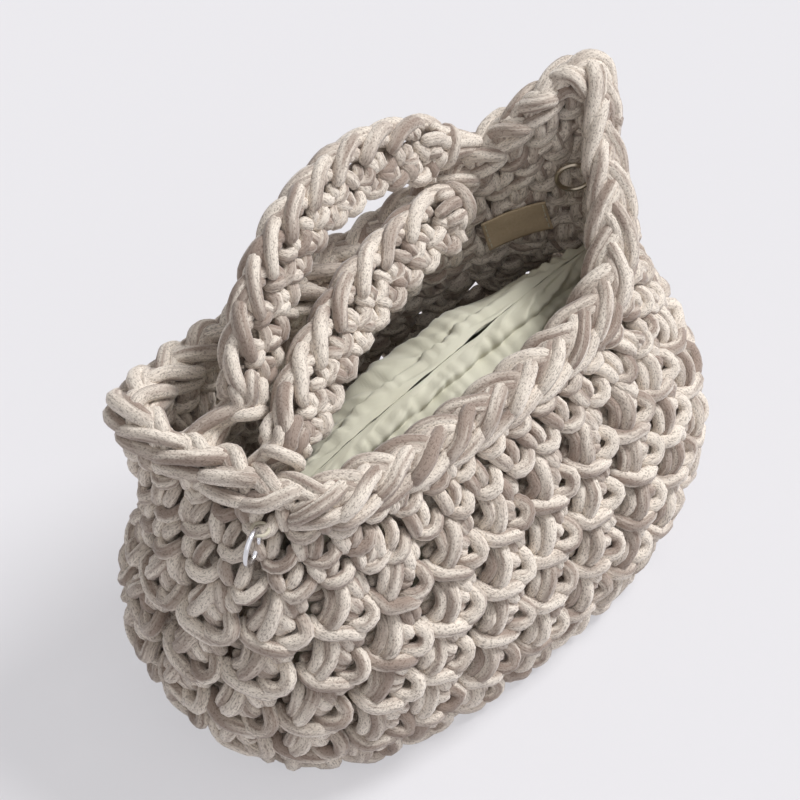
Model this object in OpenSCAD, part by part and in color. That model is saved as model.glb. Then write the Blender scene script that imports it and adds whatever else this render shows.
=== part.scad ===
// Small hand-crocheted handbag: openwork body, two short handles, a sewn pouch inside and two trim rings.
// +X runs along the bag, -Y is its front, +Z is up, and the floor is at z = 0 under the middle of the base.

/* [Cord] */
// Thickness of the knitted cord
cord_d = 5.6; // [4:0.2:7]
// How far each round of stitches swells past the wall
swell = 2.4; // [1:0.2:3.5]

/* [Body] */
// Length of the base
base_length = 214; // [190:2:230]
// Depth of the base, front to back
base_depth = 116; // [106:2:124]
// Thickness of the base
base_thick = 8; // [7:0.5:10]
// How far the sides bulge out halfway up, at each end
end_bulge = 21; // [12:1:26]
// How far the sides bulge out halfway up, at front and back
side_bulge = 16; // [8:1:20]
// Height of one open round
mesh_height = 25.5; // [22:0.5:28]
// Length over the shoulder, above the open rounds
shoulder_length = 244; // [228:2:252]
// Depth over the shoulder
shoulder_depth = 114; // [104:2:122]
// How far forward the base sits from the mouth
base_forward = 11; // [8:1:14]
// How far right the base sits from the mouth
base_right = 4; // [2:1:8]
// Openings in each open round
holes_per_round = 26; // [20:1:30]
// Width of one opening
hole_w = 8; // [5:0.5:10]

/* [Mouth] */
// Length of the mouth along the rim
mouth_length = 200; // [188:2:212]
// Depth of the mouth
mouth_depth = 84; // [78:2:92]
// Height of the rim above the shoulder at the middle of the front
rim_rise = 26; // [23:1:34]
// Height of the plaited edge
edge_h = 11; // [9:0.5:13]
// Width of the plaited edge
edge_w = 13; // [11:0.5:15]

/* [Handles] */
// Width of a handle's band
band_w = 14; // [11:0.5:16]
// Thickness of a handle's band
band_t = 8; // [7:0.5:9]
// Height of the arched handle over the line between its roots
arch_rise = 32; // [26:1:40]
// Height of the low handle over the line between its roots
low_rise = 12; // [8:1:15]
// Radius of a handle's root knot
knot_r = 5.5; // [4.5:0.5:6]
// Length of a handle's root knot
knot_l = 8; // [6:0.5:10]

/* [Pouch] */
// Thickness of the pouch's doubled cloth
cloth = 1.4; // [1:0.1:2]
// Length of the pouch
pouch_length = 178; // [152:2:186]
// Depth of the pouch in front of its mouth
pouch_front = 30; // [24:1:34]
// Depth of the pouch behind its mouth
pouch_back = 25; // [20:1:29]
// Height of the pouch's mouth at the middle
pouch_height = 121; // [112:1:124]
// Width of the slit between the two hems
slit = 7; // [6.4:0.2:9]
// Width of a hem
hem_w = 8; // [6:0.5:10]

/* [Trim] */
// Diameter of a ring, to the middle of its wire
ring_d = 14; // [12:0.5:18]
// Thickness of a ring's wire
ring_wire = 2; // [1.6:0.1:2.4]
// Diameter of the thread loop that holds a ring
loop_d = 6.4; // [5.6:0.2:8]
// Thickness of that loop
loop_wire = 1.4; // [1:0.1:1.6]
// Length of the sewn label
label_l = 28; // [22:1:32]
// Height of the sewn label
label_h = 18; // [14:1:20]
// Thickness of the label's tape
label_t = 0.8; // [0.5:0.1:1.2]

/* [Hidden] */

clear = 0.3;                                        // running clearance between pieces
mesh_rounds = 4;                                    // open rounds, one node each
wall = 2 * cord_d;                                  // the wall is two cords thick
roundness = 2.6;                                    // exponent of the body's plan outline
end_lean = 0.55;                                    // how much the wall's thickness turns to the ends
shoulder_z = base_thick + mesh_rounds * mesh_height;
turns = 60;                                         // sections round the body

cream = [0.87, 0.84, 0.80];
taupe = [0.66, 0.60, 0.56];
sage = [0.78, 0.79, 0.70];
tan_cloth = [0.70, 0.62, 0.52];
thread = [0.82, 0.80, 0.72];
steel = [0.75, 0.75, 0.76];

mouth_y = 4;                                        // the mouth's middle lies a little behind the origin
shoulder_forward = 2;                               // and the shoulder's a little before the mouth's
heel = 3;                                           // how far the base's lower edge draws in

// The rim, by hand: turn in degrees from the right end, outset from the mouth outline, height over the front.
RIM = [[0, 8, 36], [12, 25, 60], [28, 10, 52], [50, 8, 30], [75, 7, 14], [105, 9, 12],
    [130, 17, 13], [150, 22, 18], [164, 6, 13], [180, -7, 10], [210, -3, 9], [228, 2, 8],
    [245, -1, 4], [270, -3, 0], [300, -2, 1], [320, -1, 5], [342, 0, 17]];

// The handles' roots, by hand: right end, then left end. Each handle hangs on the line between them.
ARCHED_ROOTS = [[63, 53, 178], [-75, 18, 154]];
LOW_ROOTS = [[56, 36, 160], [-77, -7, 148]];

function mix(a, b, u) = a + (b - a) * u;
function curve(c) = sign(c) * pow(abs(c), 2 / roundness);
function unit(v) = v / norm(v);

// A closed smooth curve through the rows of a table, at turn p, for column k.
function row(i) = let (n = len(RIM), j = (i + n) % n) [RIM[j][0] + 360 * floor(i / n), RIM[j][1], RIM[j][2]];
function slope(i, k) = (row(i + 1)[k] - row(i - 1)[k]) / (row(i + 1)[0] - row(i - 1)[0]);
function span_of(p) = max([for (i = [0:len(RIM) - 1]) if (RIM[i][0] <= p) i]);
function rim_value(p, k) = let (i = span_of(p), a = row(i), b = row(i + 1), w = b[0] - a[0], u = (p - a[0]) / w)
    (2 * pow(u, 3) - 3 * u * u + 1) * a[k] + (pow(u, 3) - 2 * u * u + u) * w * slope(i, k)
    + (3 * u * u - 2 * pow(u, 3)) * b[k] + (pow(u, 3) - u * u) * w * slope(i + 1, k);

// Points on the middle of the wall: "low" from the floor to the shoulder, "rim" along the plaited edge.
function outward(p) = unit([end_lean * cos(p), sin(p), 0]);
function low(p, h) = let (puff = sin(180 * pow(h, 0.8)),
    a = mix(base_length, shoulder_length, h) / 2 + end_bulge * puff - wall / 2,
    b = mix(base_depth, shoulder_depth, h) / 2 + side_bulge * puff - wall / 2)
    [a * curve(cos(p)) + base_right * (1 - h), b * curve(sin(p)) + mouth_y - mix(base_forward, shoulder_forward, h), h * shoulder_z];
function rim(p) = [mouth_length / 2 * curve(cos(p)), mouth_depth / 2 * curve(sin(p)) + mouth_y,
    shoulder_z + rim_rise + rim_value(p, 2)] + outward(p) * rim_value(p, 1);
function upper(p, s) = mix(low(p, 1), rim(p) - [0, 0, edge_h / 2], s);
function wall_at(p, s) = s <= 1 ? low(p, s) : upper(p, s - 1);

// Puts its children at the wall's inner (side -1) or outer (side 1) face, with +X square to it.
function along(p, s) = wall_at(p + 2, s) - wall_at(p - 2, s);
function square_to(p, s) = let (t = along(p, s)) unit([t.y, -t.x, 0]);
module on_wall(p, s, side, gap) {
    o = square_to(p, s);
    rise = wall_at(p, s + 0.05) - wall_at(p, s - 0.05);
    translate(wall_at(p, s) + side * (outward(p) * wall / 2 + o * gap)) rotate([0, 0, atan2(o.y, o.x)])
        rotate([0, atan2(rise * o, rise.z), 0]) children();
}

// One round of stitches as a closed ring between heights s0 and s1, with a swelling outside.
steps = 4;
function section(p, s0, s1, grow) = concat(
    [for (j = [0:steps]) let (u = j / steps)
        wall_at(p, mix(s0, s1, u)) + outward(p) * (wall / 2 + grow + swell * sin(180 * u))],
    [for (j = [2:-1:0]) wall_at(p, mix(s0, s1, j / 2)) - outward(p) * (wall / 2 + grow)]);
module closed_loft(rings) {
    n = len(rings);
    m = len(rings[0]);
    polyhedron(
        points = [for (r = rings) each r],
        faces = [for (i = [0:n - 1], j = [0:m - 1]) let (a = i * m, b = (i + 1) % n * m, k = (j + 1) % m)
            each [[a + j, a + k, b + j], [a + k, b + k, b + j]]],
        convexity = 6);
}
module open_loft(rings) {
    n = len(rings);
    m = len(rings[0]);
    polyhedron(
        points = [for (r = rings) each r],
        faces = concat(
            [for (i = [0:n - 2], j = [0:m - 1]) let (a = i * m, b = a + m, k = (j + 1) % m)
                each [[a + j, a + k, b + j], [a + k, b + k, b + j]]],
            [[for (j = [m - 1:-1:0]) j]], [[for (j = [0:m - 1]) (n - 1) * m + j]]),
        convexity = 6);
}
module course(s0, s1, grow = 0)
    closed_loft([for (i = [0:turns - 1]) section(360 * i / turns, s0, s1, grow)]);

first_s = base_thick / shoulder_z;
hole_share = 0.45;                                  // of a round's height, from its foot to its openings
function round_s(i) = mix(first_s, 1, i / mesh_rounds);
// The openings of a round lie between its clusters, half a step on from those below.
module mesh_course(i) color(i % 2 == 0 ? cream : taupe) difference() {
    course(round_s(i), round_s(i + 1));
    for (k = [0:holes_per_round - 1])
        on_wall(360 * (k + i % 2 / 2) / holes_per_round, mix(round_s(i), round_s(i + 1), hole_share), 1, -wall / 2)
            rotate([0, 90, 0]) cylinder(d = hole_w, h = 2 * wall, center = true, $fn = 6);
}

module base_panel() color(taupe)
    open_loft([for (u = [1, 0.4, 0])
        [for (i = [0:turns - 1]) let (p = 360 * i / turns, q = low(p, u * first_s))
            [q.x, q.y, u * base_thick] + outward(p) * (wall / 2 - (1 - u) * (1 - u) * heel)]]);

// The plaited edge that sits on the rim.
function oval(p, grow) = [for (t = [0:45:315])
    rim(p) + outward(p) * (edge_w / 2 + grow) * cos(t)
    + [0, 0, max(-1, min(1, 1.15 * sin(t))) * (edge_h / 2 + grow)]];
module edge_chain(grow = 0) closed_loft([for (i = [0:turns - 1]) oval(360 * i / turns, grow)]);
module rim_edge_chain() color(cream) edge_chain();
lap = 0.012;                                        // share of the height left free above a dense round
module rim_course_1() color(cream) course(1, 1.5 - lap);
module rim_course_2() color(taupe) course(1.5, 2 - lap);

// Handles. In a handle's own frame +X runs from its left root to its right one, and +Z leans with the band.
function chord(roots) = norm(roots[0] - roots[1]);
module at_handle(roots, lean) {
    d = roots[0] - roots[1];
    translate((roots[0] + roots[1]) / 2)
        rotate([lean, -atan2(d.z, norm([d.x, d.y])), atan2(d.y, d.x)])
            children();
}
// A bar with the children's section, bent to an arc that rises over the middle of the line between the roots.
module arc_bar(roots, rise) {
    half_chord = chord(roots) / 2 - knot_l / 2;
    radius = (half_chord * half_chord + rise * rise) / (2 * rise);
    half_turn = asin(half_chord / radius);
    translate([0, 0, rise - radius]) rotate([90, 0, 0]) rotate([0, 0, 90 - half_turn])
        rotate_extrude(angle = 2 * half_turn, $fn = 180) translate([radius, 0]) children();
}
module root_pair(roots, start) for (side = [-1, 1])
    translate([side * (chord(roots) / 2 + start), 0, 0]) rotate([0, side * 90, 0])
        cylinder(r = knot_r, h = knot_l - clear / 2, $fn = 32);
module handle_band(roots, lean, rise) at_handle(roots, lean) {
    arc_bar(roots, rise) translate([-band_w / 2, 0]) square([band_w, band_t], center = true);
    root_pair(roots, -knot_l);
}
module handle_edge(roots, lean, rise) at_handle(roots, lean)
    difference() {
        arc_bar(roots, rise) polygon([for (t = [-90:15:90]) [edge_h * pow(cos(t), 0.6), chain_w / 2 * sin(t)]]);
        for (side = [-1, 1]) translate([side * (chord(roots) / 2 - knot_l / 2), 0, 0]) rotate([0, 90, 0])
            cylinder(r = knot_r + clear, h = 3 * knot_l, center = true, $fn = 32);
    }
chain_w = edge_w - 2;                               // a handle's plait is drawn tighter than the rim's
arched_lean = -26;
low_lean = -36;
module arched_handle_band() color(taupe) handle_band(ARCHED_ROOTS, arched_lean, arch_rise);
module arched_handle_edge() color(cream) handle_edge(ARCHED_ROOTS, arched_lean, arch_rise);
module low_handle_band() color(taupe) handle_band(LOW_ROOTS, low_lean, low_rise);
module low_handle_edge() color(cream) handle_edge(LOW_ROOTS, low_lean, low_rise);
// Knots that tie the handles' roots to the wall.
module handle_root_knots() color(taupe) difference() {
    for (roots = [ARCHED_ROOTS, LOW_ROOTS]) at_handle(roots, 0)
        for (side = [-1, 1]) translate([side * (chord(roots) / 2 + clear / 2), 0, 0]) rotate([0, side * 90, 0])
            cylinder(r = knot_r, h = 3 * knot_l, $fn = 24);
    course(1, 2, clear);
    edge_chain(clear);
    knots_outside();
}
// All that lies outside the mouth's outline, where a knot would stand proud of the wall.
module knots_outside() difference() {
    translate([-shoulder_length, -shoulder_depth, shoulder_z])
        cube([2 * shoulder_length, 2 * shoulder_depth, shoulder_depth]);
    open_loft([for (z = [2 * shoulder_depth, -wall])
        [for (i = [0:turns - 1]) let (q = rim(360 * i / turns)) [q.x, q.y, shoulder_z + z]]]);
}

// The pouch. A station is a cut across the bag at share u of the pouch's length.
pouch_x = 17;                                       // middle of the pouch, right of the base's
pouch_y = 1.5;                                      // and behind it
pouch_skew = 4.5;                                   // how far its right end turns back
pouch_tilt = 4.5;                                   // how far its right end is raised
pouch_droop = 5;                                    // how far the ends of its mouth sag
floor_z = base_thick + cloth + 2 * clear;
function swell_at(u) = pow(sin(180 * mix(0.02, 0.98, u)), 0.6);
function mouth_at(u) = let (k = 2 * u - 1) [pouch_x + k * pouch_length / 2, pouch_y + k * pouch_skew,
    pouch_height + k * pouch_tilt - pouch_droop * pow(k, 4)];
// A panel's line from the slit down to the floor: shares of the panel's depth and height.
FALL = [[0, 1], [0.3, 0.975], [0.65, 0.91], [0.93, 0.78], [1, 0.6], [0.95, 0.25], [0.85, 0]];
function fall(u, side, depth) = let (m = mouth_at(u), w = depth * swell_at(u), h = m.z - floor_z)
    [for (k = FALL) [m.x, m.y + side * (slit / 2 * swell_at(u) + k[0] * w), floor_z + k[1] * h]];
function tangent(line, i) = unit(line[min(i + 1, len(line) - 1)] - line[max(i - 1, 0)]);
function shift_line(line, side, d) = [for (i = [0:len(line) - 1]) let (t = tangent(line, i))
    line[i] + side * d * [0, -t.z, t.y]];
function last_of(line) = let (q = line[len(line) - 1]) [q.x, q.y];
function flip(list) = [for (i = [len(list) - 1:-1:0]) list[i]];
function sheet_cut(line, side, d0, d1) = let (
    cut = concat(shift_line(line, side, d1), flip(shift_line(line, side, d0)))) side > 0 ? cut : flip(cut);
stations = 14;                                      // cuts along the pouch, less one
module panel(side, depth) open_loft([for (i = [0:stations])
    sheet_cut(fall(i / stations, side, depth), side, 0, cloth)]);
function hem_line(u, side, depth) = let (f = fall(u, side, depth), share = min(1, hem_w / norm(f[1] - f[0])))
    [f[0], mix(f[0], f[1], share / 2), mix(f[0], f[1], share)];
module hem(side, depth) open_loft([for (i = [1:stations - 1])
    sheet_cut(hem_line(i / stations, side, depth), side, cloth + clear / 2, 2 * cloth + clear / 2)]);
module lining_front_panel() color(sage) panel(-1, pouch_front);
module lining_back_panel() color(sage) panel(1, pouch_back);
module lining_front_hem() color(sage) hem(-1, pouch_front);
module lining_back_hem() color(sage) hem(1, pouch_back);
module lining_bottom() color(sage) translate([0, 0, base_thick + clear]) linear_extrude(cloth) polygon([
    for (i = [0:stations]) let (f = fall(i / stations, -1, pouch_front)) last_of(f),
    for (i = [stations:-1:0]) let (f = fall(i / stations, 1, pouch_back)) last_of(f)]);

// The label and the two rings sit against the wall, each at a turn and a height in shares: 1 the shoulder, 2 the rim.
LABEL_PLACE = [40, 1.3];
LEFT_RING_PLACE = [205, 1.93];
RIGHT_RING_PLACE = [4, 1.8];
label_gap = 3.2;                                    // the hollow of the wall behind the flat label
ring_drop = 50;                                     // a ring's slope down and away from the wall
module label() color(tan_cloth) on_wall(LABEL_PLACE[0], LABEL_PLACE[1], -1, label_gap)
    cube([label_t, label_l, label_h], center = true);
module torus(d, wire) rotate_extrude($fn = 48) translate([d / 2, 0]) circle(d = wire, $fn = 16);
// A ring turns on the foot of its loop, which stands at the seat's distance from the wall's face.
// The loop leans back until its head meets the wall.
ring_reach = ring_d / 2 - loop_wire / 2 - ring_wire / 2 - clear;
function seat(side) = ring_d / 2 + ring_wire / 2 - ring_reach * cos(ring_drop) + (side > 0 ? swell + 4 * clear : 0);
function loop_lean(side) = asin((seat(side) - (side > 0 ? swell : 0) - loop_wire / 2) / loop_d);
module hung_ring(place, side) color(steel) on_wall(place[0], place[1], side, seat(side))
    translate(ring_reach * [side * cos(ring_drop), 0, -sin(ring_drop)]) rotate([90, 0, 0]) torus(ring_d, ring_wire);
module ring_loop(place, side) color(thread) on_wall(place[0], place[1], side, seat(side))
    rotate([0, -side * loop_lean(side), 0]) translate([0, 0, loop_d / 2]) rotate([0, 90, 0]) torus(loop_d, loop_wire);
module left_ring() hung_ring(LEFT_RING_PLACE, 1);
module left_ring_loop() ring_loop(LEFT_RING_PLACE, 1);
module right_ring() hung_ring(RIGHT_RING_PLACE, -1);
module right_ring_loop() ring_loop(RIGHT_RING_PLACE, -1);

base_panel();
mesh_course(0);  // mesh_course_1
mesh_course(1);  // mesh_course_2
mesh_course(2);  // mesh_course_3
mesh_course(3);  // mesh_course_4
rim_course_1();
rim_course_2();
rim_edge_chain();
handle_root_knots();
arched_handle_band();
arched_handle_edge();
low_handle_band();
low_handle_edge();
lining_front_panel();
lining_back_panel();
lining_bottom();
lining_front_hem();
lining_back_hem();
label();
left_ring();
left_ring_loop();
right_ring();
right_ring_loop();
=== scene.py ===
import math
import random

import bmesh
import bpy
import numpy as np
from mathutils import Matrix, Vector, noise


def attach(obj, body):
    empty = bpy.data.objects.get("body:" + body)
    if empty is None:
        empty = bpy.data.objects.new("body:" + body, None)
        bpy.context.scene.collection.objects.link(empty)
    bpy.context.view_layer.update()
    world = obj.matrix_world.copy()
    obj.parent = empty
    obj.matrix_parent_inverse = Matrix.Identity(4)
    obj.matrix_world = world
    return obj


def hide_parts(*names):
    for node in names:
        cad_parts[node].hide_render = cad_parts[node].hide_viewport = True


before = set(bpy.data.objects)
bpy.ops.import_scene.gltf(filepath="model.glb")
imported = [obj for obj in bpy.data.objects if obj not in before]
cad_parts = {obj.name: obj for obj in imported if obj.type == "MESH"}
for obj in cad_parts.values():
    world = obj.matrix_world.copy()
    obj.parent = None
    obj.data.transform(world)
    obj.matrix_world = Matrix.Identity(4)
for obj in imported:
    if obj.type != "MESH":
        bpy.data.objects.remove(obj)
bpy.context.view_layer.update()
random.seed(11)
mm = 0.001

# the wall: the body's own lines, in millimetres, turns in degrees from the right end
wallForm = {
    "baseLength": 214, "baseDepth": 116, "baseThick": 8,
    "endBulge": 21, "sideBulge": 16,
    "shoulderLength": 244, "shoulderDepth": 114, "shoulderHeight": 110,
    "baseForward": 11, "shoulderForward": 2, "baseRight": 4,
    "mouthLength": 200, "mouthDepth": 84, "mouthBack": 4, "rimRise": 26, "edgeHeight": 11,
    "thickness": 11.2, "roundness": 2.6, "endLean": 0.55, "bellySink": 0.8}
slopeStep = {"turn": 1.5, "level": 0.04}  # how far off the points lie that give the fabric's slope
rimRows = [  # turn, outset from the mouth's outline, height over the front
    (0, 8, 36), (12, 25, 60), (28, 10, 52), (50, 8, 30), (75, 7, 14), (105, 9, 12),
    (130, 17, 13), (150, 22, 18), (164, 6, 13), (180, -7, 10), (210, -3, 9), (228, 2, 8),
    (245, -1, 4), (270, -3, 0), (300, -2, 1), (320, -1, 5), (342, 0, 17)]


def mix(a, b, share):
    return a + (b - a) * share


def bow(value):
    return math.copysign(abs(value) ** (2 / wallForm["roundness"]), value)


def outward(turn):
    angle = math.radians(turn)
    return Vector((wallForm["endLean"] * math.cos(angle), math.sin(angle), 0)).normalized()


def lowWall(turn, height):
    angle = math.radians(turn)
    puff = math.sin(math.pi * min(max(height, 0), 1) ** wallForm["bellySink"])
    inset = wallForm["thickness"] / 2
    halfLength = mix(wallForm["baseLength"], wallForm["shoulderLength"], height) / 2
    halfDepth = mix(wallForm["baseDepth"], wallForm["shoulderDepth"], height) / 2
    x = (halfLength + wallForm["endBulge"] * puff - inset) * bow(math.cos(angle))
    y = (halfDepth + wallForm["sideBulge"] * puff - inset) * bow(math.sin(angle))
    forward = mix(wallForm["baseForward"], wallForm["shoulderForward"], height)
    return Vector((x + wallForm["baseRight"] * (1 - height), y + wallForm["mouthBack"] - forward,
                   height * wallForm["shoulderHeight"]))


def rimValue(turn, column):
    turn %= 360
    count = len(rimRows)

    def row(i):
        lap, j = divmod(i, count)
        return rimRows[j][0] + 360 * lap, rimRows[j][column]

    i = max(k for k in range(count) if rimRows[k][0] <= turn)
    nearRows = [row(i + k) for k in (-1, 0, 1, 2)]
    (before, valueBefore), (start, valueA), (end, valueB), (after, valueAfter) = nearRows
    width = end - start
    slopeA = (valueB - valueBefore) / (end - before) * width
    slopeB = (valueAfter - valueA) / (after - start) * width
    u = (turn - start) / width
    return ((2 * u ** 3 - 3 * u * u + 1) * valueA + (u ** 3 - 2 * u * u + u) * slopeA
            + (3 * u * u - 2 * u ** 3) * valueB + (u ** 3 - u * u) * slopeB)


def rimLine(turn):
    angle = math.radians(turn)
    flat = Vector((wallForm["mouthLength"] / 2 * bow(math.cos(angle)),
                   wallForm["mouthDepth"] / 2 * bow(math.sin(angle)) + wallForm["mouthBack"],
                   wallForm["shoulderHeight"] + wallForm["rimRise"] + rimValue(turn, 2)))
    return flat + outward(turn) * rimValue(turn, 1)


def wallAt(turn, level):
    if level <= 1:  # 0 to 1 is the open part, 1 to 2 the dense part under the rim
        return lowWall(turn, level)
    top = rimLine(turn) - Vector((0, 0, wallForm["edgeHeight"] / 2))
    return lowWall(turn, 1).lerp(top, level - 1)


def wallSpot(turn, level, out):
    aside, above = slopeStep["turn"], slopeStep["level"]
    along = wallAt(turn + aside, level) - wallAt(turn - aside, level)
    rise = wallAt(turn, level + above) - wallAt(turn, level - above)
    return wallAt(turn, level) + along.cross(rise).normalized() * out


def evenTurns(line, count):  # the turn after each of count equal steps along a closed line, and its length
    turns = np.linspace(0, 360, 721)  # every half degree
    points = np.array([line(t) for t in turns])
    lengths = np.concatenate([[0], np.cumsum(np.linalg.norm(np.diff(points, axis=0), axis=1))])

    def turnOf(step):
        lap, rest = divmod(step, count)
        return float(np.interp(rest / count * lengths[-1], lengths, turns)) + 360 * lap

    return turnOf, lengths[-1]


# cord: every strand is a soft path with round ends
cordForm = {"radius": 2.68, "swelling": 0.2, "ringStep": 2.5, "wobble": 0.8, "spread": (0.94, 1.06),
            "endShare": 0.35, "endWidth": 0.72, "tipWidth": 0.02, "hidden": (2, 9), "mergeWithin": 0.15}
yarnLength = [0.0]  # how much cord has been worked so far: its colour runs on from stitch to stitch


def throughPoints(points):  # a fine smooth line through the points, and the lengths along it
    p = [points[0] * 2 - points[1]] + list(points) + [points[-1] * 2 - points[-2]]
    fine = []
    for i in range(1, len(p) - 2):
        for k in range(8):
            u = k / 8
            fine.append(0.5 * (2 * p[i] + (p[i + 1] - p[i - 1]) * u
                               + (2 * p[i - 1] - 5 * p[i] + 4 * p[i + 1] - p[i + 2]) * u * u
                               + (3 * p[i] - p[i - 1] - 3 * p[i + 1] + p[i + 2]) * u ** 3))
    fine.append(p[-2])
    line = np.array(fine)
    lengths = np.concatenate([[0], np.cumsum(np.linalg.norm(np.diff(line, axis=0), axis=1))])
    return line, lengths


def strand(points, thick=1.0, wobble=None):  # a length of cord in millimetres, with its radius along it
    wobble = cordForm["wobble"] if wobble is None else wobble
    loose = [Vector(q) + Vector([random.uniform(-wobble, wobble) for k in range(3)]) for q in points]
    line, lengths = throughPoints(loose)
    total = lengths[-1]
    radius = cordForm["radius"] * thick * random.uniform(*cordForm["spread"])
    inner = max(2, round((total - 2 * radius) / cordForm["ringStep"]))
    roundEnd = cordForm["endShare"] * radius
    stops = np.concatenate([[0, roundEnd], np.linspace(radius, total - radius, inner + 1),
                            [total - roundEnd, total]])
    path = np.stack([np.interp(stops, lengths, line[:, k]) for k in range(3)], axis=1)
    path[:, 2] = np.maximum(path[:, 2], radius)  # the lowest cord lies on the floor
    fat = 1 - cordForm["swelling"] / 2 + cordForm["swelling"] * np.sin(np.pi * stops / total)
    fat[[0, -1]] = cordForm["tipWidth"]
    fat[[1, -2]] *= cordForm["endWidth"]
    start = yarnLength[0]
    yarnLength[0] += total + random.uniform(*cordForm["hidden"])
    return {"path": path, "radii": radius * fat, "along": start + stops}


def curveMesh(curve):
    source = bpy.data.objects.new(curve.name + "Source", curve)
    bpy.context.collection.objects.link(source)
    mesh = bpy.data.meshes.new_from_object(source)
    bpy.data.objects.remove(source)
    return mesh


def placePiece(name, mesh, slot, body, replaced=()):
    piece = bpy.data.objects.new(name, mesh)
    bpy.context.collection.objects.link(piece)
    mesh.materials.clear()
    mesh.materials.append(materials[slot])
    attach(piece, body)
    if replaced:
        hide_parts(*replaced)
    return piece


def cordPiece(name, strands, body, replaced):  # one piece from many strands, each with round ends
    curve = bpy.data.curves.new(name, "CURVE")
    curve.dimensions = "3D"
    curve.bevel_depth = mm
    curve.bevel_resolution = 2  # eight sides
    for each in strands:
        spline = curve.splines.new("POLY")
        count = len(each["path"])
        spline.points.add(count - 1)
        spline.points.foreach_set("co", np.column_stack([each["path"] * mm, np.ones(count)]).ravel())
        spline.points.foreach_set("radius", each["radii"])
    mesh = curveMesh(curve)
    sides = len(mesh.vertices) // sum(len(each["path"]) for each in strands)
    angles = np.arange(sides) * 2 * np.pi / sides
    place = []  # running length, then the place round the cord, in millimetres
    ends = []
    first = 0
    for each in strands:
        count = len(each["path"])
        block = np.zeros((count, sides, 3))
        block[:, :, 0] = each["along"][:, None]
        block[:, :, 1] = cordForm["radius"] * np.cos(angles)
        block[:, :, 2] = cordForm["radius"] * np.sin(angles)
        place.append(block.reshape(-1, 3))
        last = first + (count - 1) * sides
        ends += list(range(first, first + sides)) + list(range(last, last + sides))
        first = last + sides
    layer = mesh.attributes.new("cordPlace", "FLOAT_VECTOR", "POINT")
    layer.data.foreach_set("vector", np.concatenate(place).ravel())
    bm = bmesh.new()
    bm.from_mesh(mesh)
    bm.verts.ensure_lookup_table()
    bmesh.ops.remove_doubles(bm, verts=[bm.verts[i] for i in ends], dist=cordForm["mergeWithin"] * mm)
    bmesh.ops.recalc_face_normals(bm, faces=bm.faces)
    for face in bm.faces:
        face.smooth = True
    bm.to_mesh(mesh)
    bm.free()
    placePiece(name, mesh, "cotton_cord", body, replaced)


# materials
def shade(hexText):  # an sRGB hex value as linear colour
    parts = [int(hexText[i:i + 2], 16) / 255 for i in (1, 3, 5)]
    return [p / 12.92 if p <= 0.04045 else ((p + 0.055) / 1.055) ** 2.4 for p in parts] + [1]


def addNode(material, kind, settings=None, values=None, links=None):
    node = material.node_tree.nodes.new(kind)
    for key, value in (settings or {}).items():
        setattr(node, key, value)
    for key, value in (values or {}).items():
        node.inputs[key].default_value = value
    for key, source in (links or {}).items():
        material.node_tree.links.new(source, node.inputs[key])
    return node


def newMaterial(name, **sockets):
    material = bpy.data.materials.new(name)
    material.use_nodes = True
    shader = material.node_tree.nodes["Principled BSDF"]
    for key, value in sockets.items():
        shader.inputs[key.replace("_", " ")].default_value = value
    return material, shader


# knitted cotton tube in cream and taupe yarns: matt, streaky along its length, with painted shade in the
# hollows of its pin stitches
cordLook = {"cream": "#F0E6DA", "taupe": "#A19085", "shadow": "#5E4C40",
            "taupeFrom": 0.88, "taupeTo": 1.20, "ribFrom": 0.45, "ribTo": 0.75, "ribShare": 0.35,
            "pinFrom": 0.52, "pinTo": 0.68, "pinShare": 0.5, "relief": 0.55, "reliefDeep": 0.5}
cordNoise = {  # how long and how wide a patch is on the cord, in millimetres, then detail and roughness
    "streak": (34, 3.2, 2.0, 0.55), "change": (60, 20, 1.0, 0.5), "rib": (3, 0.7, 2.0, 0.5),
    "stitch": (0.85, 0.5, 1.0, 0.4)}


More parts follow.
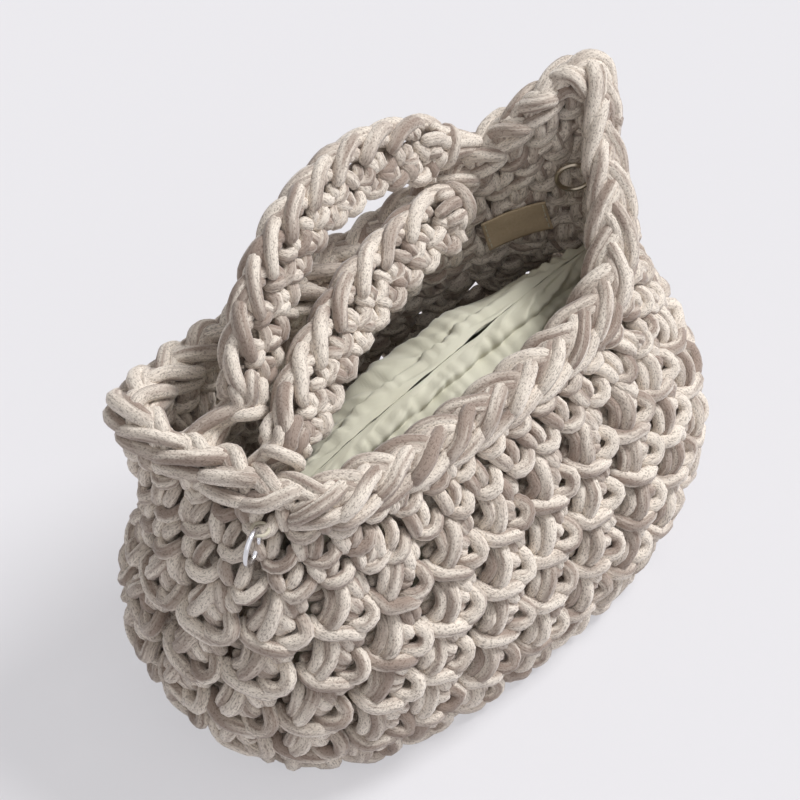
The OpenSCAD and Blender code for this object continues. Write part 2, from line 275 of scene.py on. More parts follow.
def makeCordMaterial():
    look = cordLook
    cream, taupe, shadow = [shade(look[name]) for name in ("cream", "taupe", "shadow")]
    material, shader = newMaterial("knittedCottonCord", Roughness=0.95, Sheen_Weight=0.3, Sheen_Roughness=0.5)
    place = addNode(material, "ShaderNodeAttribute", {"attribute_name": "cordPlace"}).outputs["Vector"]
    noises = {}
    for name, (long, wide, detail, roughness) in cordNoise.items():
        spot = addNode(material, "ShaderNodeVectorMath", {"operation": "MULTIPLY"},
                       {1: (1 / long, 1 / wide, 1 / wide)}, {0: place})
        noises[name] = addNode(material, "ShaderNodeTexNoise", None,
                               {"Scale": 1.0, "Detail": detail, "Roughness": roughness},
                               {"Vector": spot.outputs[0]}).outputs["Fac"]
    both = addNode(material, "ShaderNodeMath", {"operation": "ADD"}, None,
                   {0: noises["change"], 1: noises["streak"]})
    taupeShare = addNode(material, "ShaderNodeMapRange", {"interpolation_type": "SMOOTHSTEP"},
                         {"From Min": look["taupeFrom"], "From Max": look["taupeTo"]},
                         {"Value": both.outputs[0]})
    ground = addNode(material, "ShaderNodeMix", {"data_type": "RGBA"}, {6: cream, 7: taupe},
                     {0: taupeShare.outputs[0]})
    ribShare = addNode(material, "ShaderNodeMapRange", None,
                       {"From Min": look["ribFrom"], "From Max": look["ribTo"], "To Max": look["ribShare"]},
                       {"Value": noises["rib"]})
    ribbed = addNode(material, "ShaderNodeMix", {"data_type": "RGBA"}, {7: taupe},
                     {0: ribShare.outputs[0], 6: ground.outputs[2]})
    pinShare = addNode(material, "ShaderNodeMapRange", None,
                       {"From Min": look["pinFrom"], "From Max": look["pinTo"], "To Max": look["pinShare"]},
                       {"Value": noises["stitch"]})
    # painted shade: the shadow colour darkens the pin stitches just where the bump sinks them into hollows
    colour = addNode(material, "ShaderNodeMix", {"data_type": "RGBA"}, {7: shadow},
                     {0: pinShare.outputs[0], 6: ribbed.outputs[2]})
    material.node_tree.links.new(colour.outputs[2], shader.inputs["Base Color"])
    height = addNode(material, "ShaderNodeMath", {"operation": "MULTIPLY_ADD"}, {1: -1.0},
                     {0: noises["stitch"], 2: noises["rib"]})
    bump = addNode(material, "ShaderNodeBump", None,
                   {"Strength": look["relief"], "Distance": look["reliefDeep"] * mm},
                   {"Height": height.outputs[0]})
    material.node_tree.links.new(bump.outputs[0], shader.inputs["Normal"])
    return material


# plain-woven cotton, sage: matt and soft, with a fine weave and slight slubs
clothLook = {"face": "#DAD8C8", "fold": "#C6C3AE", "threadEvery": 0.5655, "slubsPerMetre": 60,
             "relief": 0.25, "reliefDeep": 0.2}


def makeClothMaterial():
    look = clothLook
    material, shader = newMaterial("sageWovenCotton", Roughness=0.85, Sheen_Weight=0.3, Sheen_Roughness=0.4)
    coords = addNode(material, "ShaderNodeTexCoord").outputs["Object"]
    slub = addNode(material, "ShaderNodeTexNoise", None, {"Scale": look["slubsPerMetre"], "Detail": 4.0},
                   {"Vector": coords})
    colour = addNode(material, "ShaderNodeMix", {"data_type": "RGBA"},
                     {6: shade(look["face"]), 7: shade(look["fold"])}, {0: slub.outputs["Fac"]})
    material.node_tree.links.new(colour.outputs[2], shader.inputs["Base Color"])
    waveScale = 2 * math.pi / 20 / (look["threadEvery"] * mm)  # a wave texture has 20 radians to a unit
    weft, warp = [addNode(material, "ShaderNodeTexWave", {"bands_direction": way},
                          {"Scale": waveScale, "Distortion": 0.6}, {"Vector": coords}) for way in ("X", "Z")]
    weave = addNode(material, "ShaderNodeMath", {"operation": "MULTIPLY"}, None,
                    {0: weft.outputs["Fac"], 1: warp.outputs["Fac"]})
    bump = addNode(material, "ShaderNodeBump", None,
                   {"Strength": look["relief"], "Distance": look["reliefDeep"] * mm},
                   {"Height": weave.outputs[0]})
    material.node_tree.links.new(bump.outputs[0], shader.inputs["Normal"])
    return material


def makePlain(name, face, other, grainsPerMetre, relief, **sockets):
    material, shader = newMaterial(name, **sockets)
    coords = addNode(material, "ShaderNodeTexCoord").outputs["Object"]
    grain = addNode(material, "ShaderNodeTexNoise", None, {"Scale": grainsPerMetre, "Detail": 3.0},
                    {"Vector": coords})
    colour = addNode(material, "ShaderNodeMix", {"data_type": "RGBA"}, {6: shade(face), 7: shade(other)},
                     {0: grain.outputs["Fac"]})
    material.node_tree.links.new(colour.outputs[2], shader.inputs["Base Color"])
    bump = addNode(material, "ShaderNodeBump", None, {"Strength": relief, "Distance": 0.1 * mm},
                   {"Height": grain.outputs["Fac"]})
    material.node_tree.links.new(bump.outputs[0], shader.inputs["Normal"])
    return material


# woven tape is flat and matt, waxed thread a little smoother, plated wire mirrors, and the inner ring is
# duller, its warm, darker colour a painted reflection of the cord around it
materials = {
    "cotton_cord": makeCordMaterial(),
    "pouch_cloth": makeClothMaterial(),
    "label_tape": makePlain("wovenTapeLabel", "#CDBBA0", "#B7A284", 900, 0.5, Roughness=0.8),
    "sewing_thread": makePlain("waxedThread", "#D9D3C2", "#BFB8A4", 1500, 0.4, Roughness=0.7),
    "silver_ring": makePlain("platedSteelWire", "#E4E4E6", "#D5D5D8", 300, 0.05, Roughness=0.2, Metallic=1.0),
    # painted reflection: the inner ring's warm, darker plated colour stands in for the cord it reflects
    "brassy_ring": makePlain("platedWireReflectionPainted", "#B5AB98", "#9F9585", 300, 0.08, Roughness=0.32, Metallic=1.0)}
print("materials made")

# floor, light and camera
sceneLook = {"floor": "#E8E7EB", "floorGlow": 0.6, "floorHalf": 4, "air": "#F6F3F1", "airStrength": 0.34,
             "lens": 135, "sensor": 36, "lookAt": (-0.004, 0.004, 0.113), "distance": 1.2,
             "toCamera": (-0.438, -0.470, 0.766)}
lamps = {  # where the light comes from, its power, and how many degrees wide it is
    "keyLight": ((0.95, -0.30, 1.25), 2.75, 20),
    "fillLight": ((-0.3, -0.9, 1.3), 0.35, 60)}


def backdropRays(owner):  # 1 for the rays that see the backdrop: from the camera, off metal, through glass
    rays = addNode(owner, "ShaderNodeLightPath").outputs
    seen = rays["Is Camera Ray"]
    for name in ("Is Glossy Ray", "Is Transmission Ray"):
        seen = addNode(owner, "ShaderNodeMath", {"operation": "MAXIMUM"}, None,
                       {0: seen, 1: rays[name]}).outputs[0]
    return seen


def makeFloor():
    bm = bmesh.new()
    bmesh.ops.create_grid(bm, x_segments=1, y_segments=1, size=sceneLook["floorHalf"])
    mesh = bpy.data.meshes.new("floor")
    bm.to_mesh(mesh)
    bm.free()
    floor = bpy.data.objects.new("floor", mesh)
    bpy.context.collection.objects.link(floor)
    material, shader = newMaterial("floorPaper", Roughness=0.9)
    shader.inputs["Base Color"].default_value = shade(sceneLook["floor"])
    glow = addNode(material, "ShaderNodeEmission", None, {"Color": shade(sceneLook["floor"])})
    part = addNode(material, "ShaderNodeMath", {"operation": "MULTIPLY"}, {1: sceneLook["floorGlow"]},
                   {0: backdropRays(material)})
    blend = addNode(material, "ShaderNodeMixShader", None, None,
                    {0: part.outputs[0], 1: shader.outputs[0], 2: glow.outputs[0]})
    surface = material.node_tree.nodes["Material Output"].inputs["Surface"]
    material.node_tree.links.new(blend.outputs[0], surface)
    mesh.materials.append(material)


def makeWorld():
    world = bpy.data.worlds.new("studio")
    bpy.context.scene.world = world
    world.use_nodes = True
    air = world.node_tree.nodes["Background"]
    air.inputs["Color"].default_value = shade(sceneLook["air"])
    air.inputs["Strength"].default_value = sceneLook["airStrength"]
    behind = addNode(world, "ShaderNodeBackground", None,
                     {"Color": shade(sceneLook["floor"]), "Strength": 1.0})
    sky = addNode(world, "ShaderNodeMixShader", None, None,
                  {0: backdropRays(world), 1: air.outputs[0], 2: behind.outputs[0]})
    world.node_tree.links.new(sky.outputs[0], world.node_tree.nodes["World Output"].inputs["Surface"])


def makeLamps():
    for name, (position, power, width) in lamps.items():
        lamp = bpy.data.lights.new(name, "SUN")
        lamp.energy = power
        lamp.angle = math.radians(width)
        light = bpy.data.objects.new(name, lamp)
        light.location = position
        light.rotation_euler = (-Vector(position)).to_track_quat("-Z", "Y").to_euler()
        bpy.context.collection.objects.link(light)


def makeCamera():
    lens = bpy.data.cameras.new("camera")
    lens.lens = sceneLook["lens"]
    lens.sensor_width = sceneLook["sensor"]
    camera = bpy.data.objects.new("camera", lens)
    away = Vector(sceneLook["toCamera"]).normalized() * sceneLook["distance"]
    camera.location = Vector(sceneLook["lookAt"]) + away
    camera.rotation_euler = (-away).to_track_quat("-Z", "Y").to_euler()
    bpy.context.collection.objects.link(camera)
    bpy.context.scene.camera = camera


makeFloor()
makeWorld()
makeLamps()
makeCamera()
bpy.context.scene.view_settings.view_transform = "Standard"
print("stage set")

# open rounds: each cluster is a hook along its foot, leaning posts, and legs from the round above
openRound = {"clusters": 24, "rounds": 5, "shift": 0.25, "jitter": 0.075, "lowest": 0.03, "bare": (190, 322)}
openOuter = [  # across the cluster, up the round, out from the wall's middle in millimetres; then thickness
    ([(0.64, 1.06, -1.0), (0.66, 0.86, 4.0), (0.58, 0.60, 6.6), (0.45, 0.32, 6.2), (0.35, 0.12, 1.5)], 1.14),
    ([(0.48, 0.98, -2.0), (0.49, 0.80, 2.6), (0.42, 0.58, 4.2), (0.32, 0.38, 3.0), (0.24, 0.26, -1.0)], 1.02),
    ([(0.12, 0.42, -1.0), (0.20, 0.25, 4.4), (0.36, 0.11, 6.6), (0.58, 0.03, 7.2), (0.76, -0.05, 6.0),
      (0.88, -0.08, 1.5)], 1.14),
    ([(0.60, 0.16, 1.0), (0.76, 0.09, 6.2), (0.94, 0.10, 7.2), (1.04, 0.26, 6.6), (1.00, 0.44, 3.8),
      (0.90, 0.52, -1.0)], 1.1),
    ([(0.60, 0.80, 0.0), (0.70, 0.64, 4.6), (0.80, 0.46, 4.6), (0.86, 0.30, 0.0)], 1.04),
    ([(0.50, 0.54, 0.0), (0.62, 0.42, 4.0), (0.74, 0.30, 3.2), (0.82, 0.18, -0.5)], 1.0),
    ([(0.74, 1.14, -1.0), (0.79, 0.94, 3.8), (0.86, 0.70, 4.6), (0.92, 0.50, 0.0)], 1.08),
    ([(0.90, 1.12, -1.5), (0.94, 0.94, 2.8), (1.00, 0.74, 4.0), (1.05, 0.56, 0.0)], 1.04)]
openLining = [  # further loops inside, where the wall would let daylight through
    ([(-0.12, 0.02, -2.0), (0.02, 0.06, -4.4), (0.2, 0.02, -4.6), (0.38, -0.04, -2.0)], 1.0),
    ([(-0.10, 0.30, -2.0), (0.02, 0.24, -4.6), (0.2, 0.20, -4.8), (0.36, 0.26, -2.0)], 1.0)]
openInner = [  # the back of the cluster, seen from inside
    ([(0.20, 0.50, 0.0), (0.42, 0.42, -4.0), (0.78, 0.42, -4.4), (1.06, 0.54, 0.0)], 1.0),
    ([(-0.04, 0.82, -1.0), (0.3, 0.72, -3.6), (0.65, 0.74, -3.8), (1.0, 0.84, -1.0)], 0.98),
    ([(0.34, 0.22, 0.0), (0.56, 0.10, -4.0), (0.80, 0.10, -4.0), (0.98, 0.22, 0.0)], 0.98),
    ([(0.56, 1.05, 0.0), (0.52, 0.75, -4.2), (0.44, 0.42, -4.4), (0.40, 0.16, 0.0)], 1.0),
    ([(0.86, 1.05, 0.0), (0.80, 0.75, -3.8), (0.74, 0.42, -4.0), (0.72, 0.16, 0.0)], 1.0)]


def workCell(patterns, turnOf, column, levelOf, jitter):
    shiftX, shiftY = random.uniform(-jitter, jitter), random.uniform(-jitter, jitter)
    return [strand([wallSpot(turnOf(column + shiftX + a), levelOf(shiftY + b), c) for a, b, c in points],
                   thick) for points, thick in patterns]


def makeOpenRounds():
    form = openRound
    rounds = form["rounds"]
    firstLevel = wallForm["baseThick"] / wallForm["shoulderHeight"]
    pieces = [[], [], [], []]  # one for each of the rounds that they stand for
    for index in range(rounds):
        low = mix(firstLevel, 1, index / rounds)
        high = mix(firstLevel, 1, (index + 1) / rounds)
        turnOf = evenTurns(lambda t: wallAt(t, (low + high) / 2), form["clusters"])[0]
        level = lambda v: max(form["lowest"], mix(low, high, v))
        for k in range(form["clusters"]):
            column = k + form["shift"] * index
            patterns = openOuter + openInner
            if not form["bare"][0] < turnOf(column) % 360 < form["bare"][1]:
                patterns = patterns + openLining
            pieces[index * len(pieces) // rounds] += workCell(patterns, turnOf, column, level, form["jitter"])
    for index, strands in enumerate(pieces):
        cordPiece(f"openRound{index + 1}", strands, "bag", [f"mesh_course_{index + 1}"])


makeOpenRounds()
print("open rounds worked")

# dense rounds under the rim, row by row from the rim down
denseRound = {"rowHeight": 12.5, "columnWidth": 14.5, "jitter": 0.07, "deepest": 9, "countedAt": 1.7,
              "roundUp": 0.2, "top": 2.02, "height": 1.03}
joinCourse = {"stitches": 36, "hollow": 3, "ends": (34, 326), "allRoundTo": 1.2, "places": [  # level, depth
    (0.97, -4.6), (1.06, -4.2), (1.16, -4.6), (1.3, -4.8), (1.46, -4.8), (1.62, -4.8), (1.78, -4.6)]}
denseOuter = [  # as for the open rounds
    ([(0.16, 1.10, 0.0), (0.18, 0.84, 4.8), (0.26, 0.48, 5.6), (0.38, 0.18, 2.0)], 1.06),
    ([(0.62, 1.12, 0.0), (0.62, 0.82, 4.4), (0.58, 0.48, 5.0), (0.52, 0.18, 1.0)], 1.0),
    ([(0.36, 0.26, 1.0), (0.55, 0.06, 5.4), (0.82, 0.08, 6.0), (1.02, 0.34, 5.0), (1.02, 0.6, 1.0)], 1.02)]
denseInner = [
    ([(0.20, 1.05, 0.0), (0.24, 0.78, -4.4), (0.34, 0.42, -4.8), (0.44, 0.14, -1.0)], 1.0),
    ([(0.66, 1.05, 0.0), (0.64, 0.78, -4.4), (0.60, 0.42, -4.8), (0.56, 0.14, -1.0)], 1.0),
    ([(0.0, 0.2, 0.0), (0.3, 0.04, -4.6), (0.7, 0.04, -4.6), (1.0, 0.2, 0.0)], 1.0)]


def makeJoinCourses():  # inside, where the two fabrics meet; the upper ones only close the tall right end
    form = joinCourse
    strands = []
    for level, deep in form["places"]:
        turnOf = evenTurns(lambda t: wallAt(t, level), form["stitches"])[0]
        for k in range(form["stitches"]):
            if level > form["allRoundTo"] and form["ends"][0] < turnOf(k) % 360 < form["ends"][1]:
                continue
            strands.append(strand([wallSpot(turnOf(k + u), level, deep + form["hollow"] * abs(u - 0.6))
                                   for u in (0, 0.3, 0.6, 0.9, 1.2)]))
    return strands


def makeDenseRounds():
    form = denseRound
    middle = lambda t: wallAt(t, form["countedAt"])
    columns = round(evenTurns(middle, 1)[1] / form["columnWidth"])
    turnOf = evenTurns(middle, columns)[0]
    upper, lower = [], []
    for depth in range(form["deepest"]):
        for k in range(columns):
            column = k + depth % 2 / 2
            turn = turnOf(column + 0.5)
            tall = (wallAt(turn, 2) - wallAt(turn, 1)).length
            rowCount = max(2, round(tall / form["rowHeight"] + form["roundUp"]))
            if depth >= rowCount:
                continue
            level = lambda v: form["top"] - (depth + 1 - v) * form["height"] / rowCount
            cell = workCell(denseOuter, turnOf, column, level, form["jitter"])
            cell += workCell(denseInner, turnOf, column, level, form["jitter"])
            if depth == 0:
                upper += cell
            else:
                lower += cell
    lower += makeJoinCourses()
    cordPiece("denseRoundUpper", upper, "bag", ["rim_course_2"])
    cordPiece("denseRoundsLower", lower, "bag", ["rim_course_1"])


makeDenseRounds()
print("dense rounds worked")

# the plait along the rim and along the handles: points along, across and up, for a step as long as drawnPitch
plait = {"pitch": 16.5, "drawnPitch": 18, "thick": 1.1, "secondShare": 0.95, "wobble": 0.5}
plaitArm = [(0, 7.0, -5.0), (3, 8.4, -2.0), (9, 7.2, 1.8), (16, 3.8, 4.0), (22, 0.2, 3.6), (27, -2.6, 0.2),
            (29, -3.4, -3.0)]
plaitSecond = [(1, 3.4, -4.0), (5, 4.2, -0.6), (11, 2.6, 2.4), (17, -0.8, 3.0), (22, -3.4, 1.0),
               (25, -4.6, -2.4)]
rimSkirt = {"line": [(0, 6.0, -8.0), (6, 8.4, -6.6), (14, 8.8, -4.6), (22, 7.2, -2.6), (27, 5.2, -3.4)],
            "outer": 0.3, "inner": 0.8, "outerThick": 1.05, "innerAcross": 1.5, "core": (0.4, -4.6),
            "ringRoom": (196, 216)}  # the turns where the left ring hangs


def plaitStrands(spotAt, length, widen=1.0):  # spotAt(distance, across, up) is a point by the line
    count = round(length / plait["pitch"])
    step = length / count
    arms = ((plaitArm, plait["thick"]), (plaitSecond, plait["thick"] * plait["secondShare"]))
    strands = []
    for k in range(count):
        for side, late in ((-1, 0), (1, 0.5)):
            start = (k + late) * step
            for arm, thick in arms:
                points = [spotAt(start + a * step / plait["drawnPitch"], side * b * widen, c)
                          for a, b, c in arm]
                strands.append(strand(points, thick, plait["wobble"]))
    return strands


def makeRim():
    turnOf, length = evenTurns(rimLine, 1)

    def spot(distance, across, up):
        turn = turnOf(distance / length)
        return rimLine(turn) + outward(turn) * across + Vector((0, 0, up))

    strands = plaitStrands(spot, length)
    form = rimSkirt
    count = round(length / plait["pitch"])
    step = length / count
    for k in range(count):  # long stitches on the outside, loops that tie the plait to the wall, and its core
        if not form["ringRoom"][0] < turnOf((k + 0.9) * step / length) < form["ringRoom"][1]:
            strands.append(strand([spot((k + form["outer"]) * step + a, b, c) for a, b, c in form["line"]],
                                  form["outerThick"]))
        strands.append(strand([spot((k + form["inner"]) * step + a, form["innerAcross"] - b, c)
                               for a, b, c in form["line"]]))
        strands.append(strand([spot((k + u) * step, *form["core"]) for u in (0, 0.4, 0.8, 1.2)]))
    cordPiece("rimPlait", strands, "bag", ["rim_edge_chain"])


makeRim()
print("rim plaited")

# handles: an arc between two roots, plaited above and knuckled below
handleForms = {
    "arched": {"roots": [(63, 53, 178), (-75, 18, 154)], "lean": -26, "rise": 32},
    "low": {"roots": [(56, 36, 160), (-77, -7, 148)], "lean": -36, "rise": 12}}
handleBand = {"width": 14, "knotLength": 8, "knuckle": 14, "scatter": 0.08, "top": 1.5,
              "nearest": 7, "farthest": 4}  # how far the knuckles stay from the left and the right end
handlePlait = {"up": 5.4, "shorter": 14, "widen": 0.62}
knuckle = [  # along one knuckle, up the row, out from the band's middle in millimetres; then thickness
    ([(0.10, 1.0, 0.5), (0.14, 0.72, 3.6), (0.30, 0.40, 3.8), (0.42, 0.12, 1.0)], 1.0),
    ([(0.60, 1.0, 0.5), (0.60, 0.70, 3.4), (0.56, 0.40, 3.4), (0.50, 0.10, 0.5)], 0.95),
    ([(0.34, 0.20, 0.5), (0.55, -0.04, 3.2), (0.84, 0.0, 3.6), (1.02, 0.30, 3.0), (1.02, 0.6, 0.5)], 1.0)]


def handleSpotter(form):
    right, left = [Vector(root) for root in form["roots"]]
    chord = (right - left).length
    line = right - left
    turn = (Matrix.Rotation(math.atan2(line.y, line.x), 3, "Z")
            @ Matrix.Rotation(-math.atan2(line.z, math.hypot(line.x, line.y)), 3, "Y")
            @ Matrix.Rotation(math.radians(form["lean"]), 3, "X"))
    middle = (right + left) / 2
    halfChord = chord / 2 - handleBand["knotLength"] / 2
    radius = (halfChord ** 2 + form["rise"] ** 2) / (2 * form["rise"])
    halfTurn = math.asin(halfChord / radius)
    length = 2 * halfTurn * radius

    def spot(distance, out, across):
        angle = distance / radius - halfTurn
        return middle + turn @ Vector(((radius + out) * math.sin(angle), across,
                                       form["rise"] - radius + (radius + out) * math.cos(angle)))

    return spot, length


def makeHandle(name, form):
    spot, length = handleSpotter(form)
    edge = plaitStrands(lambda d, across, up: spot(d, up + handlePlait["up"], across),
                        length - handlePlait["shorter"], handlePlait["widen"])
    cordPiece(name + "HandlePlait", edge, f"{name}_handle", [f"{name}_handle_edge"])
    count = round(length / handleBand["knuckle"])
    step = length / count
    nearest, farthest = handleBand["nearest"], length - handleBand["farthest"]
    rowHeight = handleBand["width"] / 2
    band = []
    for k in range(count):
        for row in range(2):
            for face in (-1, 1):
                start = k + random.uniform(-handleBand["scatter"], handleBand["scatter"]) + row / 2
                for points, thick in knuckle:
                    band.append(strand([spot(min(max((start + a) * step, nearest), farthest),
                                             handleBand["top"] - (row + 1 - b) * rowHeight, face * c)
                                        for a, b, c in points], thick))
    cordPiece(name + "HandleBand", band, f"{name}_handle", [f"{name}_handle_band"])


for name, form in handleForms.items():
    makeHandle(name, form)
print("handles worked")

# ties from the handles' ends to the wall, with wraps round them
rootTies = {  # where each handle's right and left end join the wall: turn, level and depth
    "arched": [(47, 1.98, 0.0), (166, 1.96, 0.0)],
    "low": [(58, 1.62, -2.0), (186, 1.86, -3.0)]}
tieForm = {"reach": 13, "stagger": 3, "thick": 1.05, "spread": 1.3, "arch": 1.5,
           "wraps": (8.2, 7.6), "wrapApart": 6, "wrapStep": 42, "wrapTurn": 130,
           "ties": ((-6, 3), (6, 3), (-3, 7), (3, 7), (-5.5, -3), (5.5, -3), (0, -6), (-2, 0), (2.5, 0))}


def makeRootKnots():
    form = tieForm
    strands = []
    for name, handle in handleForms.items():
        spot, length = handleSpotter(handle)
        for (turn, level, depth), end, inward in zip(rootTies[name], (length, 0), (-1, 1)):
            sideways = (wallAt(turn + 4, level) - wallAt(turn - 4, level)).normalized()
            for k, (across, out) in enumerate(form["ties"]):
                first = end + inward * (form["reach"] - form["stagger"] * (k % 3))
                points = [spot(first, out, across), spot(end + inward * 5, out + 1.0, across * 1.1),
                          spot(end, out * 0.9, across * 0.9)]
                goal = (wallSpot(turn, level, depth) + sideways * across * form["spread"]
                        + Vector((0, 0, out * 0.6)))
                points += [points[2].lerp(goal, 0.5) + Vector((0, 0, form["arch"])), goal]
                strands.append(strand(points, form["thick"]))
            for k, radius in enumerate(form["wraps"]):
                place = end + inward * (2 - form["wrapApart"] * k)
                angles = [math.radians(form["wrapStep"] * step + form["wrapTurn"] * k) for step in range(7)]
                strands.append(strand([spot(place, 0.5 + radius * math.cos(angle), radius * math.sin(angle))
                                       for angle in angles]))
    cordPiece("handleRootKnots", strands, "bag", ["handle_root_knots"])


makeRootKnots()
print("root knots tied")

# base: rounds of cord on the floor side, two cords to a round
baseForm = {"rings": 7, "first": 0.5, "every": 9.4, "stitch": 15, "half": 3.2, "low": 3.4, "dip": 4.4,
            "narrow": 0.8, "wobble": 0.2}


def makeBase():
    form = baseForm
    strands = []
    for ring in range(form["rings"]):
        inset = form["first"] + ring * form["every"]

        def line(turn):
            angle = math.radians(turn)
            x = (wallForm["baseLength"] / 2 - inset) * bow(math.cos(angle)) + wallForm["baseRight"]
            y = (wallForm["baseDepth"] / 2 - inset) * bow(math.sin(angle)) + wallForm["mouthBack"]
            return Vector((x, y - wallForm["baseForward"], 0))

        turnOf, length = evenTurns(line, 1)
        count = max(4, round(length / form["stitch"]))
        for k in range(count):
            for across in (-form["half"], form["half"]):
                points = []
                for u in (0, 0.3, 0.7, 1.1, 1.35):
                    turn = turnOf((k + u + 0.2 * (across > 0)) / count)
                    aside = across * (1 - abs(u - 0.6) * form["narrow"])
                    up = Vector((0, 0, form["low"] + form["dip"] * (u - 0.6) ** 2))
                    points.append(line(turn) + outward(turn) * aside + up)
                strands.append(strand(points, wobble=form["wobble"]))
    cordPiece("basePanel", strands, "bag", ["base_panel"])


makeBase()
print("base worked")

# the pouch, in millimetres: its cut across the bag goes from the slit down to the floor
pouchForm = {"x": 17, "y": 1.5, "length": 178, "front": 30, "back": 25, "height": 121, "skew": 4.5,
             "tilt": 4.5, "droop": 5, "floor": 10, "gap": 0.1, "gapOpen": 1.5, "endSquare": 0.6,
             "cloth": 0.9, "fallBend": 1.3, "bottom": 9.4, "bottomWave": 0.5}
pouchFall = [(0, 1), (0.3, 0.975), (0.65, 0.91), (0.93, 0.78), (1, 0.6), (0.95, 0.25), (0.85, 0)]  # out, up
pouchCloth = {"hemWide": 9, "hemPuff": 2.0, "seamDeep": 1.3, "seamWide": 1.4, "lobe": 8, "lobeAt": 0.42,
              "lobeWide": 0.26, "lobeDown": 24, "lobeHigh": 13, "puckerEvery": 7, "puckerDeep": 0.8,
              "puckerReach": 16, "crease": 3.0, "fold": 5.0, "fullness": 1.2}


def pouchSpot(share, down, side):
    form = pouchForm
    k = 2 * share - 1
    full = math.sin(math.pi * mix(0.02, 0.98, share)) ** form["endSquare"]
    depth = form["front"] if side < 0 else form["back"]
    x = form["x"] + k * form["length"] / 2
    y = form["y"] + k * form["skew"]
    top = form["height"] + k * form["tilt"] - form["droop"] * k ** 4
    place = down * (len(pouchFall) - 1)
    i = min(int(place), len(pouchFall) - 2)
    before, a, b, after = [pouchFall[min(max(j, 0), len(pouchFall) - 1)] for j in (i - 1, i, i + 1, i + 2)]
    u = place - i
    across, high = [0.5 * (2 * a[n] + (b[n] - before[n]) * u
                           + (2 * before[n] - 5 * a[n] + 4 * b[n] - after[n]) * u * u
                           + (3 * a[n] - before[n] - 3 * b[n] + after[n]) * u ** 3) for n in (0, 1)]
    part = form["gap"] + form["gapOpen"] * max(0, noise.noise(Vector((share * 9, 4.2, 0)))) * full
    return Vector((x, y + side * (part * max(0, 1 - down * 6) + across * depth * full),
                   form["floor"] + high * (top - form["floor"])))


def panelSpot(share, down, side):  # the pouch's line with its hem, seam, puckers, creases and the back lobe
    form = pouchCloth
    spot = pouchSpot(share, down ** pouchForm["fallBend"], side)
    below = (spot - pouchSpot(share, 0, side)).length
    fade = min(1, down * 6) * min(1, share * 8, (1 - share) * 8)
    crease = noise.noise(Vector((share * 7, down * 2.2, side * 3)))
    fold = abs(noise.noise(Vector((share * 9 + down * 6, down * 3 - share * 4, side * 5))))
    hem = math.sin(math.pi * below / form["hemWide"]) if below < form["hemWide"] else 0
    seam = math.exp(-((below - form["hemWide"]) / form["seamWide"]) ** 2)
    pucker = math.sin(2 * math.pi * share * pouchForm["length"] / form["puckerEvery"]
                      + 4 * noise.noise(Vector((share * 12, 1.5, side))))
    strength = 0.5 + noise.noise(Vector((share * 6, 8.0, side)))
    reach = math.exp(-max(0, below - form["hemWide"]) / form["puckerReach"])
    lift = ((form["crease"] * crease - form["fold"] * fold + form["fullness"]) * fade
            + form["hemPuff"] * hem - form["seamDeep"] * seam)
    if side > 0:
        lift += form["lobe"] * math.exp(-((share - form["lobeAt"]) / form["lobeWide"]) ** 2
                                        - ((below - form["lobeDown"]) / form["lobeHigh"]) ** 2)
    lift += pucker * strength * (form["puckerDeep"] * reach if below > 2 else 0.1)
    return spot + Vector((0, side * 0.75, 0.65)) * lift


def bottomSpot(share, across):
    spot = pouchSpot(share, 1, -1).lerp(pouchSpot(share, 1, 1), across)
    spot.z = pouchForm["bottom"] + pouchForm["bottomWave"] * noise.noise(Vector((share * 9, across * 4, 2)))
    return spot


def makeSheet(name, columns, rows, spotAt, slot, thickness, replaced):  # cloth from a grid, point by point
    bm = bmesh.new()
    bmesh.ops.create_grid(bm, x_segments=columns, y_segments=rows, size=0.5)
    for vert in bm.verts:
        vert.co = spotAt(vert.co.x + 0.5, 0.5 - vert.co.y) * mm
    for face in bm.faces:
        face.smooth = True
    mesh = bpy.data.meshes.new(name)
    bm.to_mesh(mesh)
    bm.free()
    piece = placePiece(name, mesh, slot, "bag", replaced)
    thick = piece.modifiers.new("thickness", "SOLIDIFY")
    thick.thickness = thickness * mm
    thick.offset = 0
    return piece, sum(p.area for p in mesh.polygons)


for name, side, way in (("pouchFront", -1, "front"), ("pouchBack", 1, "back")):
    panel, area = makeSheet(name, 170, 110, lambda share, down: panelSpot(share, down, side), "pouch_cloth",
                            pouchForm["cloth"], [f"lining_{way}_panel", f"lining_{way}_hem"])
bottomPanel, bottomArea = makeSheet("pouchBottom", 90, 24, bottomSpot, "pouch_cloth", pouchForm["cloth"],
                                    ["lining_bottom"])
print("pouch sewn")

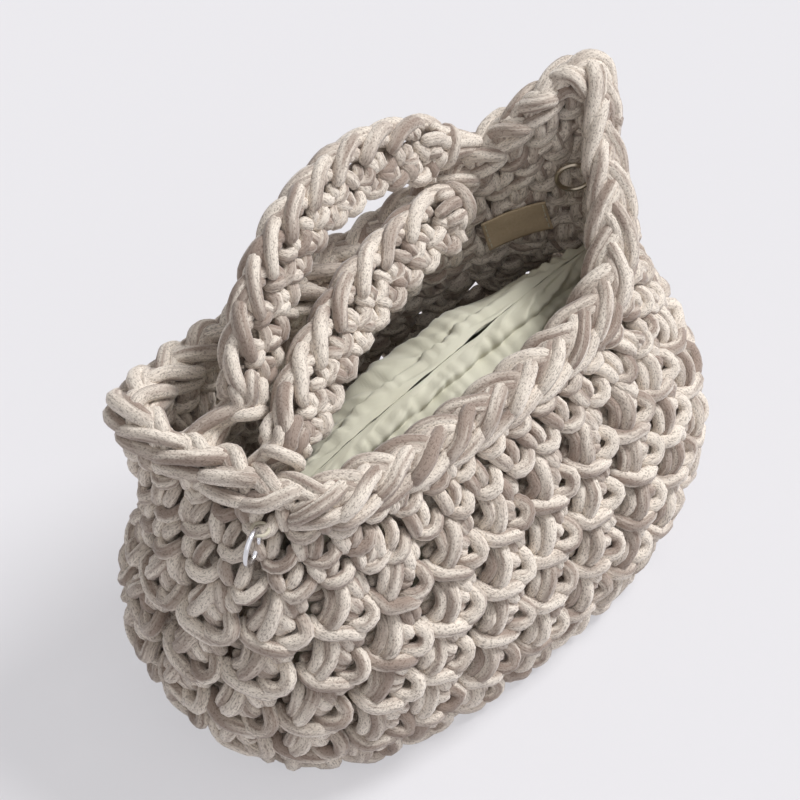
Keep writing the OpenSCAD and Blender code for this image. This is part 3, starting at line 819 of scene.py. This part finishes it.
# the blank label, its corners lifted a little, with a few stitches along its short ends
labelForm = {"turn": 40, "level": 1.3, "long": 28, "high": 18, "gap": 3.4, "twist": -14, "thick": 0.7,
             "curl": 1.6, "wave": 0.35, "slopeTurn": 1.5, "slopeLevel": 0.05}
labelThread = {  # bow: places along a stitch, and how far each stands off the cloth
    "radius": 0.32, "shares": (0.05, 0.95), "stitches": 5, "first": 0.1, "every": 0.18, "long": 0.11,
    "bow": ((0, 0.2), (0.3, 0.75), (0.7, 0.75), (1, 0.2))}


def labelSpot(share, down, proud=0.0):
    form = labelForm
    turn, level = form["turn"], form["level"]
    along = wallAt(turn + form["slopeTurn"], level) - wallAt(turn - form["slopeTurn"], level)
    square = Vector((along.y, -along.x, 0)).normalized()
    rise = wallAt(turn, level + form["slopeLevel"]) - wallAt(turn, level - form["slopeLevel"])
    up = (Vector((0, 0, 1)) * rise.z + square * rise.dot(square)).normalized()
    side = Vector((0, 0, 1)).cross(square)
    middle = wallAt(turn, level) - outward(turn) * wallForm["thickness"] / 2 - square * form["gap"]
    a, b = (share - 0.5) * form["long"], (0.5 - down) * form["high"]
    angle = math.radians(form["twist"])
    a, b = a * math.cos(angle) - b * math.sin(angle), a * math.sin(angle) + b * math.cos(angle)
    lift = (form["curl"] * 16 * (share - 0.5) ** 2 * (down - 0.5) ** 2
            + form["wave"] * noise.noise(Vector((share * 3, down * 3, 7))))
    return middle + side * a + up * b - square * (lift + proud)


label, labelArea = makeSheet("sewnLabel", 28, 18, labelSpot, "label_tape", labelForm["thick"], ["label"])


def makeLabelStitches():
    form = labelThread
    curve = bpy.data.curves.new("labelStitches", "CURVE")
    curve.dimensions = "3D"
    curve.bevel_depth = form["radius"] * mm
    curve.bevel_resolution = 1
    curve.use_fill_caps = True
    for share in form["shares"]:
        for k in range(form["stitches"]):
            spline = curve.splines.new("POLY")
            spline.points.add(len(form["bow"]) - 1)
            for point, (u, proud) in zip(spline.points, form["bow"]):
                place = labelSpot(share, form["first"] + form["every"] * k + u * form["long"], proud)
                point.co = (*(place * mm), 1)
    placePiece("labelStitches", curveMesh(curve), "sewing_thread", "bag")


makeLabelStitches()
print("label sewn")

# the rings and their thread loops keep the frame's own shapes
for node, slot in (("left_ring", "silver_ring"), ("right_ring", "brassy_ring"),
                   ("left_ring_loop", "sewing_thread"), ("right_ring_loop", "sewing_thread")):
    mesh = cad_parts[node].data
    mesh.materials.clear()
    mesh.materials.append(materials[slot])
print("rings finished")
